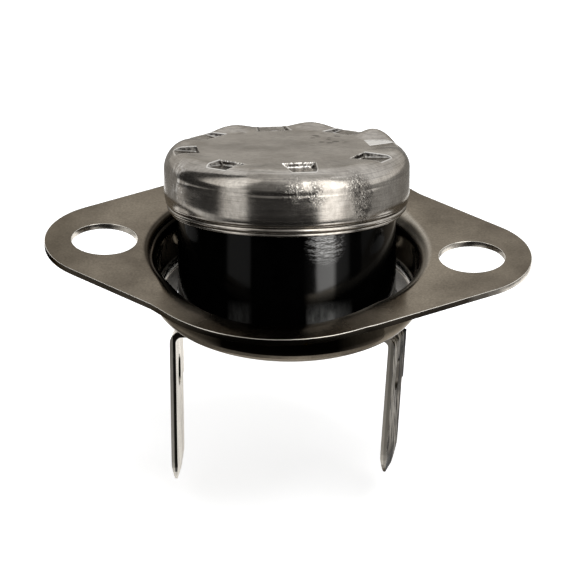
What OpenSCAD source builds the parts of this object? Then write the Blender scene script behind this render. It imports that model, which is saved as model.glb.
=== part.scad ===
// Snap-disc thermostat with a loose mounting flange.
// A round switch stands in a dished flange and leans in it, as a loose
// flange lets it. The flange lies flat in the frame: its upper face is z = 0,
// the screw holes lie along X, and the cap points up.
// The switch is drawn in a frame of its own, with z = 0 at the lower edge of
// the cap and the cap's axis along z, and is then set leaning in the flange.

/* [Mounting flange] */
// Distance between the two screw holes
hole_spacing = 24; // [20:0.5:27]
// Diameter of a screw hole
hole_d = 4.3; // [3:0.1:6]
// Thickness of the flange's sheet
sheet = 0.4; // [0.3:0.05:0.6]
// Radius of an ear's rounded tip
ear_r = 5.4; // [4.5:0.1:7]
// Distance from a screw hole in to the centre of its ear's rounded tip
ear_shift = 1.5; // [0:0.1:2]
// Width of the flat brim round the dish
brim_w = 2.1; // [1.5:0.1:4]
// Bend radius at the mouth of the dish, on the upper face
mouth_bend = 1.1; // [0.8:0.05:1.2]
// Width of the flat ledge on the dish's floor
floor_ledge = 0.35; // [0.2:0.05:1]
// Bend radius at the floor of the dish, on the inside
floor_bend = 0.6; // [0.4:0.1:0.7]
// Depth of the dish, from the brim to the upper face of its floor
dish_depth = 3.55; // [2.8:0.05:3.8]
// Clearance between the floor's hole and the leaning base
collar_gap = 0.12; // [0.08:0.02:0.3]

/* [Lean of the switch] */
// Angle between the switch's axis and the flange's
lean = 15; // [0:0.1:15.5]
// Turn of the lean's axis away from the line of the screw holes
lean_turn = 7.7; // [-30:0.1:30]
// Height of the cap's lowest point above the brim
lip_low = -0.06; // [-0.1:0.02:0.5]

/* [Cap] */
// Step from the base out to the cap's wall
cap_step = 0.88; // [0.8:0.02:1.2]
// Height of the cap from its lower edge to its flat top
cap_h = 4.25; // [3.6:0.05:5]
// Thickness of the cap's wall
cap_wall = 0.4; // [0.3:0.05:0.5]
// Thickness of the cap's top
cap_top_t = 0.45; // [0.35:0.05:0.5]
// Radius of the rounded rim
rim_r = 1.27; // [0.8:0.01:1.4]
// Height of the rim's crest above the flat top
rim_rise = 0.18; // [0.1:0.01:0.25]
// Width of the crimped lower lip
lip_w = 0.35; // [0.25:0.05:0.4]
// Thickness of the thin lower lip
lip_t = 0.16; // [0.1:0.02:0.2]
// Radius of the rolled bead above the lip
bead_r = 0.2; // [0.1:0.02:0.22]
// Height of the crimped edge that holds the base
crimp_h = 0.5; // [0.3:0.05:0.6]

/* [Stakes in the cap's rim] */
// Number of punched stakes
stake_n = 8; // [4:1:10]
// Angle of the first stake from the line of the terminals
stake_turn = 13; // [0:1:45]
// Length of a stake, from the cap's wall in
stake_l = 2.25; // [1.7:0.05:2.6]
// Width of a stake at the rim's crest
stake_w = 2.5; // [1.6:0.1:3]
// Depth of a stake below the rim's crest
stake_depth = 0.57; // [0.4:0.01:0.6]
// Slope of a stake's inner wall, measured along the radius
stake_slope = 0.15; // [0.1:0.05:0.6]
// Slope of a stake's side walls
stake_side = 0.25; // [0.1:0.05:0.5]

/* [Base] */
// Diameter of the moulded base
base_d = 14.24; // [12.6:0.02:16]
// Length of the base below the cap's lower edge
base_drop = 7.8; // [7:0.1:8.4]
// Chamfer round the bottom of the base
base_chamfer = 0.25; // [0.1:0.05:0.4]
// Clearance between the collar and the cap's wall
collar_fit = 0.1; // [0.05:0.01:0.15]
// Room in the contact chamber below the closed contact arm
arm_room = 1.6; // [1.2:0.1:2]
// Depth of the grooves that the terminals' feet lie in
groove = 0.2; // [0.1:0.05:0.4]

/* [Guide plate and disc] */
// Thickness of the guide plate
guide_t = 0.95; // [0.9:0.05:1]
// Height of the plate's rim above the disc's seat
rim_h = 0.34; // [0.26:0.02:0.5]
// Distance from the disc's edge to the plate's
disc_margin = 1; // [0.8:0.05:1.4]
// Thickness of the bimetal disc
disc_t = 0.2; // [0.1:0.02:0.24]
// Rise of the disc's middle above its edge
disc_rise = 0.35; // [0.2:0.05:0.4]
// Depth of the recess that the disc snaps into
recess = 0.45; // [0.4:0.05:0.5]
// Radius of the boss that guides the pin
boss_r = 1.6; // [1.3:0.1:2]
// Length of the boss below the plate
boss_l = 1.2; // [0.8:0.1:1.3]

/* [Pin and contacts] */
// Diameter of the ceramic pin
pin_d = 1.6; // [1.2:0.1:1.8]
// Running clearance of the pin in its guide, on the radius
pin_fit = 0.06; // [0.03:0.01:0.09]
// Gap at each end of the pin with the contacts closed
pin_gap = 0.05; // [0.03:0.01:0.08]
// Depth of the contact arm's lower face below the cap's lower edge
arm_drop = 1.6; // [1.5:0.05:1.9]
// Thickness of the contact arm
arm_t = 0.2; // [0.12:0.02:0.24]
// Width of the contact arm
arm_w = 2.6; // [2.2:0.1:3]
// Room above the arm under its rivet's head
arm_play = 0.2; // [0.16:0.02:0.3]
// Radius of the rounded ridge that the arm rocks on
ridge_r = 0.3; // [0.2:0.05:0.4]
// Clearance between the contacts, the pin and the pedestals
contact_gap = 0.3; // [0.2:0.05:0.4]
// Thickness of the moving contact
moving_t = 0.48; // [0.4:0.02:0.5]
// Thickness of the fixed contact
fixed_t = 0.35; // [0.25:0.05:0.4]
// Gap between the closed contacts, which only touch
touch = 0.02; // [0.01:0.01:0.03]
// Thickness of the fixed contact's plate
plate_t = 0.4; // [0.3:0.05:0.5]

/* [Rivets] */
// Distance from the base's side in to a rivet
rivet_inset = 2.82; // [2.7:0.02:2.9]
// Diameter of a rivet's shank
rivet_d = 1.2; // [1:0.1:1.4]
// Width of the step that seats the arm's rivet on its pedestal
step_w = 0.2; // [0.15:0.05:0.25]
// Clearance round a rivet's shank, on the radius
rivet_fit = 0.05; // [0.03:0.01:0.08]
// Radius of a rivet's head
head_r = 1.3; // [1.2:0.05:1.4]
// Thickness of a rivet's head
head_t = 0.4; // [0.3:0.05:0.5]

/* [Terminals] */
// Width of a terminal's blade
tab_w = 4.8; // [4:0.1:6.3]
// Thickness of a terminal
tab_t = 0.4; // [0.3:0.05:0.6]
// Distance from the base's side to the left blade's outer face, at its bend
gap_left = 0.38; // [0.3:0.02:0.8]
// Distance from the base's side to the right blade's outer face, at its bend
gap_right = 0.3; // [0.3:0.02:0.8]
// Inner radius of a terminal's bend
tab_bend = 0.4; // [0.3:0.05:0.6]
// Length of a foot beyond its rivet's head
foot_over = 0.6; // [0.2:0.1:0.8]
// Depth of the left blade's tip below the cap's lower edge
drop_left = 17.8; // [15:0.1:22]
// Depth of the right blade's tip below the cap's lower edge
drop_right = 17; // [15:0.1:22]
// Radius of the rounded corners at a blade's tip
tip_r = 2; // [1:0.1:2]
// Length of the bevels on a tip's faces
tip_bevel = 1.1; // [0.5:0.1:1.5]
// Inward lean of the left blade
lean_left = 0.6; // [0:0.1:4]
// Inward lean of the right blade
lean_right = 4; // [0:0.1:4.5]
// Turn of the right terminal about its rivet
turn_right = -5.5; // [-6:0.1:6]
// Distance of a blade's slot below the foot
slot_drop = 1.7; // [1.2:0.1:2]
// Length of a blade's slot
slot_l = 2.1; // [1.6:0.1:3]
// Width of a blade's slot
slot_w = 1.5; // [0.8:0.1:1.6]
// Extra width of a blade's shoulder
shoulder_w = 0.6; // [0.4:0.1:1.4]
// Length of a blade's shoulder below its foot
shoulder_l = 3.6; // [3:0.1:4.5]

/* [Hidden] */
$fn = 72;
// Small overlap of the cutting shapes
cut = 1;

// Flange
base_r = base_d / 2;
floor_hole_r = base_r / cos(lean) + sheet / 2 * tan(lean) + collar_gap;
wall_r = floor_hole_r + floor_ledge + floor_bend;
brim_r = wall_r + mouth_bend;
flange_r = brim_r + brim_w;
ear_centre = hole_spacing / 2 - ear_shift;
tangent_a = acos((flange_r - ear_r) / ear_centre);
pivot_z = -dish_depth - sheet / 2;

// Cap
cap_r = base_r + cap_step;
cap_in_r = cap_r - cap_wall;
lip_gap = 0.08;
lip_in_r = base_r + lip_gap;
lip_r = lip_in_r + lip_w;
lip_rise = (lip_low - pivot_z + lip_r * sin(lean)) / cos(lean);
cap_top = cap_h + rim_rise;
cap_in_top = cap_h - cap_top_t;
lip_groove = 0.05;
bead_z = lip_t + lip_groove + bead_r;
bead_top = bead_z + bead_r;
neck = 0.12;
stake_in_r = cap_r - stake_l;
stake_z = cap_top - stake_depth;
stake_step = 360 / stake_n;

// Guide plate and disc, stacked down from the cap's stakes
seat_gap = 0.02;
collar_r = cap_in_r - collar_fit;
rim_z = stake_z - cap_top_t - seat_gap;
rim_bevel = (rim_r - cap_wall) / 2;
guide_top = rim_z - rim_h;
disc_r = collar_r - disc_margin;
disc_gap = 0.15;
disc_seat = 0.4;
disc_steps = 10;
recess_r = disc_r - disc_seat;

// Base
collar_z = crimp_h + seat_gap;
collar_top = guide_top - guide_t;
foot_z = -base_drop + groove;
foot_fit = 0.1;

// Pin and contacts, spaced between the pin and the rivets
pin_r = pin_d / 2;
arm_z = -arm_drop;
arm_top = arm_z + arm_t;
pin_low = arm_top + pin_gap;
pin_high = guide_top + disc_rise - pin_gap;
ridge_z = arm_z - ridge_r - seat_gap;
plate_z = arm_top + moving_t + touch + fixed_t;
rivet_x = base_r - rivet_inset;
rivet_r = rivet_d / 2;
pedestal_in = rivet_x - head_r;
pedestal_w = 2 * head_r + 1;
plate_end = pin_r + contact_gap;
arm_end = pedestal_in - contact_gap;
contact_r = (arm_end - plate_end) / 2;
contact_x = (arm_end + plate_end) / 2;
step_r = rivet_r + step_w;
arm_hole_r = step_r + arm_play / 2;
chamber_r = rivet_x + arm_w / 2 + contact_gap;
chamber_drop = arm_drop + arm_room;

// Terminals
foot_in = pedestal_in - foot_over;
head_low = foot_z - tab_t - head_t;
blade_z = foot_z - tab_t - tab_bend;

// Points along an arc, from angle a0 to angle a1
function arc(x, y, r, a0, a1, n = 8) =
    [for (i = [0:n]) let (a = a0 + (a1 - a0) * i / n) [x + r * cos(a), y + r * sin(a)]];

// Sets a shape drawn in the switch's own frame leaning in the dish
module in_switch() {
    translate([0, 0, pivot_z])
        rotate(a = -lean, v = [cos(lean_turn), sin(lean_turn), 0])
            translate([0, 0, lip_rise]) children();
}

// Outline of the brim: round middle, tangent sides and rounded ears
module brim_outline() {
    circle(r = flange_r);
    for (s = [-1, 1]) {
        translate([s * ear_centre, 0]) circle(r = ear_r);
        polygon([for (p = [[flange_r, 1, 0], [ear_r, 1, ear_centre], [ear_r, -1, ear_centre],
            [flange_r, -1, 0]])
            [s * (p[2] + p[0] * cos(tangent_a)), p[1] * p[0] * sin(tangent_a)]]);
    }
}

// Flat brim with two ears, drawn down in one piece into a round dish
module mounting_flange() {
    color([0.48, 0.44, 0.39]) difference() {
        union() {
            translate([0, 0, -sheet]) linear_extrude(sheet) difference() {
                brim_outline();
                circle(r = brim_r);
            }
            rotate_extrude() polygon(concat(
                arc(brim_r, -mouth_bend, mouth_bend, 90, 180),
                arc(wall_r - floor_bend, -dish_depth + floor_bend, floor_bend, 0, -90),
                [[floor_hole_r, -dish_depth], [floor_hole_r, -dish_depth - sheet]],
                arc(wall_r - floor_bend, -dish_depth + floor_bend, floor_bend + sheet, -90, 0),
                arc(brim_r, -mouth_bend, mouth_bend - sheet, 180, 90)));
        }
        for (s = [-1, 1]) translate([s * hole_spacing / 2, 0, -mouth_bend])
            cylinder(d = hole_d, h = mouth_bend + cut);
    }
}

// Section of a stake along the radius, with its floor at height z
module stake_section(begin, end, z, top) {
    run = stake_slope / (cap_h - stake_z);
    polygon([[begin + stake_slope, z], [end, z], [end, top],
        [begin + stake_slope - run * (top - z), top]]);
}

// A stake's punch: its inner wall and both side walls slope
module stake(begin, end, z, top, w) {
    run = stake_side / stake_depth;
    half = w / 2 - stake_side;
    intersection() {
        rotate([90, 0, 0]) linear_extrude(w + 2 * cut, center = true)
            stake_section(begin, end, z, top);
        rotate([90, 0, 90]) linear_extrude(end + cut)
            polygon([[-half, z], [half, z], [half + run * (top - z), top],
                [-half - run * (top - z), top]]);
    }
}

// Drawn cap with a rounded rim, crimped lip and a ring of stakes
module sensor_cap() {
    bump_in = stake_in_r - cap_top_t / 2;
    color([0.66, 0.65, 0.63]) in_switch() rotate(stake_turn + stake_step / 2) difference() {
        rotate_extrude() polygon(concat(
            [[0, 0], [lip_r, 0], [lip_r, lip_t], [lip_r - lip_groove, lip_t + lip_groove]],
            arc(lip_r + lip_groove, bead_z, bead_r, -70, 70),
            [[lip_r + neck, bead_top + lip_groove], [cap_r - neck, bead_top + neck],
                [cap_r, bead_top + 2 * neck]],
            arc(cap_r - rim_r, cap_top - rim_r, rim_r, 0, 90),
            [[stake_in_r, cap_h], [0, cap_h]]));
        difference() {
            rotate_extrude() polygon(concat(
                [[0, -cut], [lip_in_r, -cut], [lip_in_r, crimp_h], [cap_in_r, crimp_h]],
                arc(cap_r - rim_r, cap_in_top - rim_r + cap_wall, rim_r - cap_wall, 0, 90),
                [[0, cap_in_top]]));
            for (i = [0:stake_n - 1]) rotate((i + 0.5) * stake_step)
                stake(bump_in, cap_r, stake_z - cap_top_t, cap_h, stake_w + cap_top_t);
        }
        for (i = [0:stake_n - 1]) rotate((i + 0.5) * stake_step)
            stake(stake_in_r, cap_r + cut, stake_z, cap_top + cut, stake_w);
    }
}

// Snap disc, domed towards the cap while it is cold
module bimetal_disc() {
    profile = [for (i = [0:disc_steps]) let (q = i / disc_steps)
        [disc_r * q, guide_top + disc_rise * (1 - q * q)]];
    color([0.62, 0.55, 0.42]) in_switch() rotate_extrude() polygon(concat(profile,
        [for (i = [disc_steps:-1:0]) profile[i] + [0, disc_t]]));
}

// Plate that seats the disc and guides the pin
module guide_plate() {
    bore_r = pin_r + pin_fit;
    color([0.35, 0.2, 0.12]) in_switch() rotate_extrude() polygon([
        [bore_r, collar_top - boss_l], [boss_r, collar_top - boss_l], [boss_r, collar_top],
        [collar_r, collar_top], [collar_r, rim_z - rim_bevel],
        [collar_r - rim_bevel, rim_z], [disc_r + disc_gap, rim_z],
        [disc_r + disc_gap, guide_top], [recess_r, guide_top],
        [recess_r, guide_top - recess], [bore_r, guide_top - recess]]);
}

// Ceramic pin between the disc and the contact arm, with a rounded tip
module transfer_pin() {
    color([0.93, 0.92, 0.88]) in_switch() rotate_extrude() polygon(concat(
        arc(0, pin_low + pin_r, pin_r, -90, 0), [[pin_r, pin_high], [0, pin_high]]));
}

// Blocks that carry the fixed plate and the contact arm
module pedestals() {
    reach = chamber_r + cut - pedestal_in;
    for (p = [[-1, plate_z], [1, ridge_z]])
        translate([p[0] * (pedestal_in + reach / 2), 0, (p[1] - chamber_drop - cut) / 2])
            cube([reach, pedestal_w, p[1] + chamber_drop + cut], center = true);
    translate([rivet_x, 0, ridge_z]) rotate([90, 0, 0])
        cylinder(r = ridge_r, h = pedestal_w, center = true);
}

// Sets a shape drawn for the right side on either side, turned about its rivet
module at_rivet(side, turn) {
    mirror([side < 0 ? 1 : 0, 0, 0]) translate([rivet_x, 0, 0]) rotate(turn)
        translate([-rivet_x, 0, 0]) children();
}

// Moulded base: collar for the cap, contact chamber, rivet holes and foot grooves
module switch_base() {
    color([0.05, 0.05, 0.055]) in_switch() difference() {
        rotate_extrude() polygon([[0, -base_drop], [base_r - base_chamfer, -base_drop],
            [base_r, -base_drop + base_chamfer], [base_r, collar_z], [collar_r, collar_z],
            [collar_r, collar_top], [0, collar_top]]);
        difference() {
            translate([0, 0, -chamber_drop]) cylinder(r = chamber_r, h = chamber_drop + collar_top + cut);
            pedestals();
        }
        translate([rivet_x, 0, ridge_z]) cylinder(r = step_r + rivet_fit, h = collar_top);
        for (p = [[-1, 0], [1, turn_right]]) at_rivet(p[0], p[1]) {
            translate([rivet_x, 0, -base_drop - cut])
                cylinder(r = rivet_r + rivet_fit, h = base_drop + collar_top);
            translate([(foot_in - foot_fit + base_r + cut) / 2, 0, foot_z - groove / 2 - cut / 2])
                cube([base_r + cut - foot_in + foot_fit, tab_w + 2 * foot_fit, groove + cut],
                    center = true);
        }
    }
}

// Leaf from a rivet to a contact: a strip with a round end and a rivet hole
module leaf(t, w, end, hole_r) {
    linear_extrude(t) difference() {
        union() {
            translate([rivet_x, 0]) circle(r = w / 2);
            translate([end, -w / 2]) square([rivet_x - end, w]);
        }
        translate([rivet_x, 0]) circle(r = hole_r);
    }
}

// Spring arm, riveted at one end and carrying the moving contact at the other
module contact_arm() {
    color([0.72, 0.55, 0.3]) in_switch() translate([0, 0, arm_z])
        leaf(arm_t, arm_w, -arm_end, arm_hole_r);
}

// Contact button on the arm
module moving_contact() {
    color([0.85, 0.85, 0.83]) in_switch() translate([-contact_x, 0, arm_top])
        cylinder(r = contact_r, h = moving_t);
}

// Plate that holds the fixed contact over the moving one
module fixed_plate() {
    color([0.75, 0.6, 0.32]) in_switch() translate([0, 0, plate_z]) rotate(180)
        leaf(plate_t, 2 * head_r, plate_end, rivet_r + rivet_fit);
}

// Contact button under the fixed plate
module fixed_contact() {
    color([0.85, 0.85, 0.83]) in_switch() translate([-contact_x, 0, plate_z - fixed_t])
        cylinder(r = contact_r, h = fixed_t);
}

// Rivet with a flat head at both ends and a step of radius r above height z
module rivet(side, grip_top, r, z) {
    edge = head_t / 4;
    translate([side * rivet_x, 0, 0]) rotate_extrude() polygon([[0, head_low],
        [head_r - edge, head_low], [head_r, head_low + edge], [head_r, head_low + head_t],
        [rivet_r, head_low + head_t], [rivet_r, z], [r, z], [r, grip_top], [head_r, grip_top],
        [head_r, grip_top + head_t - edge], [head_r - edge, grip_top + head_t],
        [0, grip_top + head_t]]);
}

// Rivet through the contact arm's end, stepped so that the arm can rock
module rivet_moving() {
    color([0.74, 0.72, 0.66]) in_switch() rivet(1, arm_top + arm_play, step_r, ridge_z);
}

// Rivet through the fixed plate
module rivet_fixed() {
    color([0.74, 0.72, 0.66]) in_switch() rivet(-1, plate_z + plate_t, rivet_r, plate_z);
}

// Blade terminal: a riveted foot, bent down into a blade that leans in
module terminal(side, gap, a, drop, turn) {
    tab_out = base_r + gap;
    bend_x = tab_out - tab_t - tab_bend;
    along = [-sin(a), -cos(a)];
    out = [cos(a), -sin(a)];
    length = (drop + blade_z) / cos(a);
    mid = [bend_x, blade_z] + (tab_bend + tab_t / 2) * out;
    end = mid + length * along;
    flank = mid + (length - tip_bevel) * along;
    inner_w = tab_w / 2;
    shoulder_z = foot_z - tab_t - shoulder_l;
    tip_z = -drop - cut / 4;
    slot_z = foot_z - tab_t - slot_drop - slot_l / 2;
    at_rivet(side, turn) difference() {
        intersection() {
            rotate([90, 0, 0]) linear_extrude(tab_w + 2 * shoulder_w + cut, center = true)
                polygon(concat([[foot_in, foot_z]],
                    arc(bend_x, blade_z, tab_bend + tab_t, 90, -a),
                    [flank + tab_t / 2 * out, end + tab_t / 6 * out, end - tab_t / 6 * out,
                        flank - tab_t / 2 * out],
                    arc(bend_x, blade_z, tab_bend, -a, 90),
                    [[foot_in, foot_z - tab_t]]));
            rotate([90, 0, 90]) linear_extrude(tab_out + cut)
                polygon(concat([[-inner_w, foot_z + cut], [inner_w, foot_z + cut], [inner_w, blade_z],
                    [inner_w + shoulder_w, blade_z], [inner_w + shoulder_w, shoulder_z],
                    [inner_w, shoulder_z]],
                    arc(inner_w - tip_r, tip_z + tip_r, tip_r, 0, -90),
                    arc(tip_r - inner_w, tip_z + tip_r, tip_r, -90, -180)));
        }
        translate([rivet_x, 0, head_low]) cylinder(r = rivet_r + rivet_fit, h = foot_z - head_low + cut);
        for (d = [-1, 1]) translate([bend_x, 0, slot_z + d * (slot_l - slot_w) / 2])
            rotate([0, 90, 0]) cylinder(d = slot_w, h = 4 * tab_t, center = true);
        translate([bend_x, 0, slot_z])
            cube([4 * tab_t, slot_w, slot_l - slot_w], center = true);
    }
}

// Terminal of the contact arm
module terminal_moving() {
    color([0.6, 0.57, 0.52]) in_switch() terminal(1, gap_right, lean_right, drop_right, turn_right);
}

// Terminal of the fixed contact
module terminal_fixed() {
    color([0.6, 0.57, 0.52]) in_switch() terminal(-1, gap_left, lean_left, drop_left, 0);
}

mounting_flange();
sensor_cap();
bimetal_disc();
guide_plate();
transfer_pin();
switch_base();
contact_arm();
moving_contact();
fixed_plate();
fixed_contact();
rivet_moving();
rivet_fixed();
terminal_moving();
terminal_fixed();
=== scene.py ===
# Snap-disc temperature switch in its loose flange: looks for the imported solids
import math
import bpy
import numpy as np
from mathutils import Matrix


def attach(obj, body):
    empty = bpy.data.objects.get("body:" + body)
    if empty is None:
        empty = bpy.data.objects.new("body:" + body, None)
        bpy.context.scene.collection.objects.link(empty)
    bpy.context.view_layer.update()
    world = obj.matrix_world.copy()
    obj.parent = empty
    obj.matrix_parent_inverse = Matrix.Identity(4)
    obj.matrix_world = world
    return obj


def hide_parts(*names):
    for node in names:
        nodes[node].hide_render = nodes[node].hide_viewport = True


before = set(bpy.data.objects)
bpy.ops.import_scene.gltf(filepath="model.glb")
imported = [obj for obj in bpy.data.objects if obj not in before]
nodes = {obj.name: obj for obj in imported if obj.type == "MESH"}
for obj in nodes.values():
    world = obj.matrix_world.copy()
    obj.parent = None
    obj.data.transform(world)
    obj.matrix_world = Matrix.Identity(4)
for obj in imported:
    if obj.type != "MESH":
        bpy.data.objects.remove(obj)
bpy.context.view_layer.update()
scene = bpy.context.scene
mm = 0.001
print("frame loaded:", len(nodes), "nodes")

# how the switch stands in the flange, the same sizes as the solids
switchSet = dict(lean=15.0, turn=7.7, rise=5.8432, pivot=-3.75)


# rotation by the lean about a level axis, written out from the axis and the angle
def leanMatrix(p):
    a, t = math.radians(-p["lean"]), math.radians(p["turn"])
    x, y = math.cos(t), math.sin(t)
    k = np.array([[0, 0, y], [0, 0, -x], [-y, x, 0]])
    return np.eye(3) + math.sin(a) * k + (1 - math.cos(a)) * (k @ k)


# switch millimetres to frame metres: up by the rise, leaned, then down to the pivot
def toFrame(points, p=switchSet):
    q = points + np.array([0, 0, p["rise"]])
    return (q @ leanMatrix(p).T + np.array([0, 0, p["pivot"]])) * mm


# point of the switch in frame metres: cosine and sine of the bearing times the radius, and the height
def switchPoint(bearing, r, z):
    a = math.radians(bearing)
    return toFrame(np.array([r * math.cos(a), r * math.sin(a), z]))


# number of a grid's point: counted row by row, the rows wrapped round
def gridAt(shape, a, b):
    return (a % shape[0]) * shape[1] + b


# cells of a grid as quads: each point with its next three neighbours, the last row joined to the first where asked
def gridQuads(shape, wrap):
    ii, jj = np.meshgrid(np.arange(shape[0] if wrap else shape[0] - 1), np.arange(shape[1] - 1), indexing="ij")
    corners = ((0, 0), (1, 0), (1, 1), (0, 1))
    return np.stack([gridAt(shape, ii + u, jj + v) for u, v in corners], -1).reshape(-1, 4)


# smooth mesh of points in metres and faces; bends over a given angle in degrees stay sharp
def meshPiece(name, points, faces, sharp=None):
    mesh = bpy.data.meshes.new(name)
    mesh.from_pydata(points, [], faces)
    mesh.validate()
    mesh.polygons.foreach_set("use_smooth", np.ones(len(mesh.polygons), dtype=bool))
    if sharp:
        mesh.set_sharp_from_angle(angle=math.radians(sharp))
    mesh.update()
    piece = bpy.data.objects.new(name, mesh)
    scene.collection.objects.link(piece)
    return piece


# one grid as a mesh; with poles, the first and the last ring are each closed by a fan to their middle
def gridMesh(name, points, wrap=False, flip=False, sharp=None, poles=False):
    shape = points.shape[:2]
    verts, faces, fans = points.reshape(-1, 3), gridQuads(shape, wrap), np.zeros((0, 3), int)
    if poles:
        verts = np.concatenate([verts, points[:, [0, -1]].mean(axis=0)])
        u, last, middle = np.arange(shape[0]), shape[1] - 1, shape[0] * shape[1]
        fans = np.concatenate([
            np.stack([gridAt(shape, u + 1, 0), gridAt(shape, u, 0), 0 * u + middle], -1),
            np.stack([gridAt(shape, u, last), gridAt(shape, u + 1, last), 0 * u + middle + 1], -1)])
    if flip:
        faces, fans = faces[:, ::-1], fans[:, ::-1]
    return meshPiece(name, verts, faces.tolist() + fans.tolist(), sharp)


# several grids as one mesh: their points stacked, doubles merged by rounding to a tenth of a micrometre
def patchMesh(name, patches):
    points, quads, start = [], [], 0
    for grid, wrap in patches:
        quads.append(start + gridQuads(grid.shape[:2], wrap))
        points.append(grid.reshape(-1, 3))
        start += len(points[-1])
    points, quads = np.concatenate(points), np.concatenate(quads)
    tenths = np.round(points * 1e4).astype(np.int64)
    first, back = np.unique(tenths, axis=0, return_index=True, return_inverse=True)[1:]
    return meshPiece(name, points[first] * mm, back.ravel()[quads][:, ::-1])


# points along an arc: cosine and sine of angles evenly from a0 to a1 in degrees
def arc(x, y, r, a0, a1, n):
    a = np.radians(np.linspace(a0, a1, n))
    return np.stack([x + r * np.cos(a), y + r * np.sin(a)], -1)


# flat grid between two rows of points: straight steps from each point to its partner
def between(a, b, n):
    s = np.linspace(0, 1, n)[None, :, None]
    return a[:, None, :] * (1 - s) + b[:, None, :] * s


# fresh material with its tree and its main shader
def newMaterial(name):
    m = bpy.data.materials.new(name)
    m.use_nodes = True
    return m, m.node_tree, m.node_tree.nodes["Principled BSDF"]


# node of a kind: each value goes to the node's own setting of that name, or else to its input
def add(tree, kind, **values):
    n = tree.nodes.new(kind)
    for k, v in values.items():
        if hasattr(n, k):
            setattr(n, k, v)
        else:
            n.inputs[k.replace("_", " ")].default_value = v
    return n


# input of a node: joined to another node's output, or set to a number or a colour
def feed(tree, socket, value):
    if isinstance(value, bpy.types.NodeSocket):
        tree.links.new(value, socket)
    else:
        socket.default_value = (*value, 1) if isinstance(value, tuple) else value


# place on the piece, in its own metres
def here(tree):
    return add(tree, "ShaderNodeTexCoord").outputs["Object"]


# fractal noise, 0 to 1, with so many cells to the metre
def noise(tree, vec, scale, detail=4.0, rough=0.5):
    n = add(tree, "ShaderNodeTexNoise", Scale=scale, Detail=detail, Roughness=rough)
    tree.links.new(vec, n.inputs["Vector"])
    return n.outputs["Fac"]


# value turned into a grey or a colour: straight from stop to stop
def ramp(tree, fac, stops):
    n = tree.nodes.new("ShaderNodeValToRGB")
    e = n.color_ramp.elements
    while len(e) < len(stops):
        e.new(0.5)
    for el, (pos, col) in zip(e, stops):
        el.position = pos
        el.color = (*col, 1) if isinstance(col, (tuple, list)) else (col, col, col, 1)
    tree.links.new(fac, n.inputs["Fac"])
    return n.outputs["Color"]


# one arithmetic step on two values
def maths(tree, operation, a, b):
    n = add(tree, "ShaderNodeMath", operation=operation)
    feed(tree, n.inputs[0], a)
    feed(tree, n.inputs[1], b)
    return n.outputs[0]


# product of several masks, one after the other
def product(tree, *masks):
    out = masks[0]
    for mask in masks[1:]:
        out = maths(tree, "MULTIPLY", out, mask)
    return out


# value plus a mask times a share
def plus(tree, value, mask, share):
    return maths(tree, "ADD", value, maths(tree, "MULTIPLY", mask, share))


# one step on a vector and a fixed vector: a product is a vector, all else a number
def vector(tree, operation, a, b=(0, 0, 0)):
    n = add(tree, "ShaderNodeVectorMath", operation=operation)
    n.inputs[1].default_value = tuple(float(x) for x in b)
    tree.links.new(a, n.inputs[0])
    return n.outputs["Vector" if operation == "MULTIPLY" else "Value"]


# x, y and z of a vector
def axes(tree, vec):
    n = tree.nodes.new("ShaderNodeSeparateXYZ")
    tree.links.new(vec, n.inputs[0])
    return n.outputs["X"], n.outputs["Y"], n.outputs["Z"]


# 0 at the first length and 1 at the second, straight between them; both in millimetres
def within(tree, length, low, high):
    n = add(tree, "ShaderNodeMapRange", From_Min=low * mm, From_Max=high * mm)
    tree.links.new(length, n.inputs["Value"])
    return n.outputs["Result"]


# 1 within r0 of a point in metres, falling to 0 at r1, both in millimetres
def nearPoint(tree, where, r0, r1):
    return within(tree, vector(tree, "DISTANCE", here(tree), where), r1, r0)


# two colours blended by a share, or multiplied by that share
def mixColour(tree, fac, a, b, mode="MIX"):
    n = add(tree, "ShaderNodeMix", data_type="RGBA", blend_type=mode)
    for k, v in ((0, fac), (6, a), (7, b)):
        feed(tree, n.inputs[k], v)
    return n.outputs[2]


# normal tilted by a height whose full step is a depth in millimetres, on top of another normal where given
def bump(tree, height, strength, depth, under=None):
    n = add(tree, "ShaderNodeBump", Strength=strength, Distance=depth * mm)
    tree.links.new(height, n.inputs["Height"])
    if under is not None:
        tree.links.new(under, n.inputs["Normal"])
    return n.outputs["Normal"]


# place on the piece, stretched by a factor in each direction
def mapping(tree, scale=(1, 1, 1)):
    m = add(tree, "ShaderNodeMapping", Scale=scale)
    tree.links.new(here(tree), m.inputs["Vector"])
    return m.outputs["Vector"]


# place on the piece turned upright with the switch, then stretched
def switchCoords(tree, scale=(1, 1, 1)):
    m = add(tree, "ShaderNodeMapping", Rotation=Matrix(leanMatrix(switchSet).T.tolist()).to_euler())
    tree.links.new(here(tree), m.inputs["Vector"])
    return vector(tree, "MULTIPLY", m.outputs["Vector"], scale)


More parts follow.
